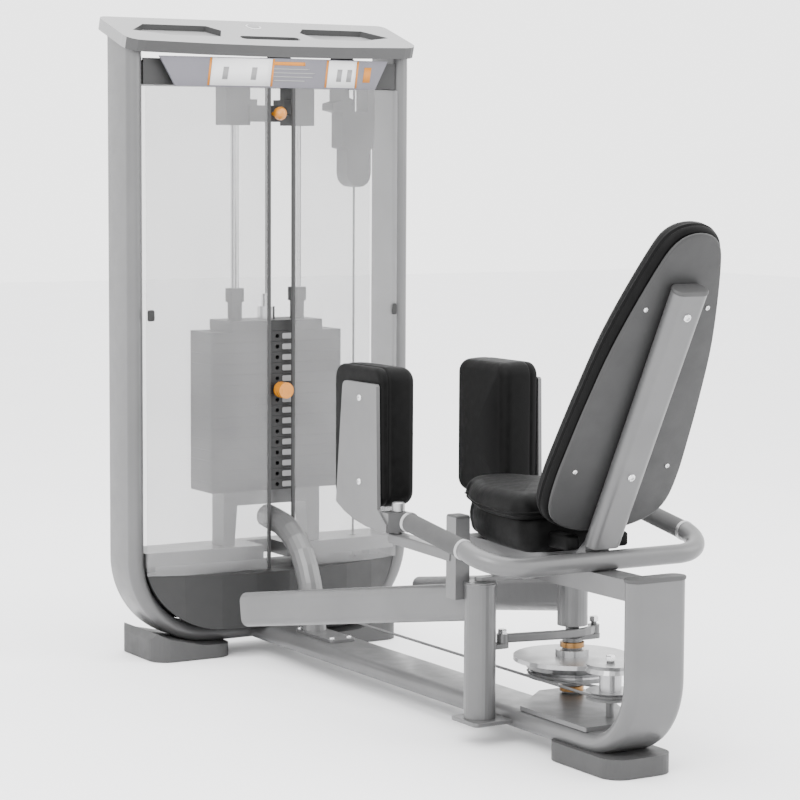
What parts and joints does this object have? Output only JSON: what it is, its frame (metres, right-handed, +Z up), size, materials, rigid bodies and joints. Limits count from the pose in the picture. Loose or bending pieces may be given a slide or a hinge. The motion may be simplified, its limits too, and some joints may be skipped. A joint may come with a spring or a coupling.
{
  "type": "hip abductor machine",
  "caption": "Seated strength machine: swinging arms with thigh pads pull a cable that lifts a pin-selected weight stack in a shrouded tower.",
  "frame": {"origin": "on the floor, under the middle of the machine's outline", "axes": "+Z up, +Y the way the user faces, towards the weight tower, +X to the user's right"},
  "size_m": [0.762, 1.8072, 1.4831],
  "materials": {
    "silver_paint": "smooth silver powder coat",
    "dark_paint": "dark satin paint",
    "foot_plastic": "moulded, fine grain",
    "cap_plastic": "moulded, satin",
    "sign_plastic": "printed panel",
    "dark_plastic": "moulded, satin",
    "clear_plastic": "clear sheet, polished",
    "chrome": "polished",
    "plate_iron": "dark powder coat",
    "orange_plastic": "glossy",
    "cable_sheath": "coated steel cable",
    "wheel_metal": "satin",
    "black_vinyl": "black vinyl over foam",
    "shell_plastic": "moulded, satin",
    "grip_rubber": "fine ribbed rubber"
  },
  "bodies": {
    "machine_frame": {"tower_frame": "silver_paint", "left_foot": "foot_plastic", "right_foot": "foot_plastic", "rear_foot": "foot_plastic", "main_beam": "silver_paint", "top_cap": "cap_plastic", "placard": "sign_plastic", "top_bridge": "dark_paint", "left_shroud": "clear_plastic", "right_shroud": "clear_plastic", "rear_shroud": "clear_plastic", "base_cover": "dark_plastic", "stack_stand": "silver_paint", "brace_tube": "silver_paint", "weight_plate_07": "plate_iron", "weight_plate_08": "plate_iron", "weight_plate_09": "plate_iron", "weight_plate_10": "plate_iron", "weight_plate_11": "plate_iron", "weight_plate_12": "plate_iron", "weight_plate_13": "plate_iron", "weight_plate_14": "plate_iron", "weight_plate_15": "plate_iron", "left_guide_rod": "chrome", "right_guide_rod": "chrome", "left_top_stop": "dark_plastic", "right_top_stop": "dark_plastic", "cable_guard": "dark_plastic", "lift_cable": "cable_sheath", "drive_bracket": "silver_paint", "seat_frame": "silver_paint", "seat_pad": "black_vinyl", "backrest_shell": "shell_plastic", "backrest_pad": "black_vinyl", "handlebar": "silver_paint", "left_grip": "grip_rubber", "right_grip": "grip_rubber"},
    "lifted_stack": {"head_plate": "plate_iron", "selector_stem": "chrome", "weight_plate_01": "plate_iron", "weight_plate_02": "plate_iron", "weight_plate_03": "plate_iron", "weight_plate_04": "plate_iron", "weight_plate_05": "plate_iron", "weight_plate_06": "plate_iron"},
    "selector_pin": {"selector_pin": "orange_plastic"},
    "increment_knob": {"increment_knob": "orange_plastic"},
    "left_arm": {"left_arm": "silver_paint", "left_pad_plate": "silver_paint", "left_thigh_pad": "black_vinyl"},
    "right_arm": {"right_arm": "silver_paint", "right_pad_plate": "silver_paint", "right_thigh_pad": "black_vinyl", "cam_wheel": "wheel_metal"},
    "tie_link": {"tie_link": "silver_paint"},
    "lift_pulley": {"lift_pulley": "dark_plastic"},
    "drop_pulley": {"drop_pulley": "dark_plastic"},
    "base_pulley": {"base_pulley": "dark_plastic"},
    "turn_pulley": {"turn_pulley": "dark_plastic"},
    "idler_pulleys": {"idler_pulleys": "wheel_metal"}
  },
  "joints": [
    {"name": "stack_lift", "type": "slide", "parent": "machine_frame", "child": "lifted_stack", "axis": [0, 0, 1], "range_m": [0, 0.0862]},
    {"name": "right_arm_swing", "type": "hinge", "parent": "machine_frame", "child": "right_arm", "pos_m": [0.1115, -0.34836, 0.28], "axis": [0, 0, -1], "range_deg": [0, 55]},
    {"name": "left_arm_swing", "type": "hinge", "parent": "machine_frame", "child": "left_arm", "pos_m": [-0.1115, -0.34836, 0.28], "axis": [0, 0, 1], "range_deg": [0, 55]},
    {"name": "link_pivot", "type": "hinge", "parent": "right_arm", "child": "tie_link", "pos_m": [0.1645, -0.34836, 0.205], "axis": [0, 0, 1], "range_deg": [0, 35]},
    {"name": "lift_pulley_spin", "type": "hinge", "parent": "machine_frame", "child": "lift_pulley", "pos_m": [0.034, 0.76964, 1.37], "axis": [0, 1, 0], "range_deg": [0, 146]},
    {"name": "drop_pulley_spin", "type": "hinge", "parent": "machine_frame", "child": "drop_pulley", "pos_m": [0.204, 0.76964, 1.37], "axis": [0, 1, 0], "range_deg": [0, 146]},
    {"name": "base_pulley_spin", "type": "hinge", "parent": "machine_frame", "child": "base_pulley", "pos_m": [0.204, 0.76964, 0.156], "axis": [0, 1, 0], "range_deg": [0, 146]},
    {"name": "turn_pulley_spin", "type": "hinge", "parent": "machine_frame", "child": "turn_pulley", "pos_m": [0.039, 0.73564, 0.122], "axis": [0, 0, 1], "range_deg": [0, 146]},
    {"name": "idler_spin", "type": "hinge", "parent": "machine_frame", "child": "idler_pulleys", "pos_m": [0.045, -0.57536, 0.15], "axis": [0, 0, 1], "range_deg": [0, 124]},
    {"name": "pin_pull", "type": "slide", "parent": "lifted_stack", "child": "selector_pin", "axis": [0, -1, 0], "range_m": [0, 0.07]},
    {"name": "knob_pull", "type": "slide", "parent": "machine_frame", "child": "increment_knob", "axis": [0, -1, 0], "range_m": [0, 0.02]}
  ],
  "couplings": [
    {"joint": "right_arm_swing", "follows": "stack_lift", "rad_per_m": 11.111},
    {"joint": "left_arm_swing", "follows": "stack_lift", "rad_per_m": 11.111},
    {"joint": "link_pivot", "follows": "stack_lift", "rad_per_m": 6.82},
    {"joint": "lift_pulley_spin", "follows": "stack_lift", "rad_per_m": 29.412},
    {"joint": "drop_pulley_spin", "follows": "stack_lift", "rad_per_m": 29.412},
    {"joint": "base_pulley_spin", "follows": "stack_lift", "rad_per_m": 29.412},
    {"joint": "turn_pulley_spin", "follows": "stack_lift", "rad_per_m": 29.412},
    {"joint": "idler_spin", "follows": "stack_lift", "rad_per_m": 25}
  ]
}
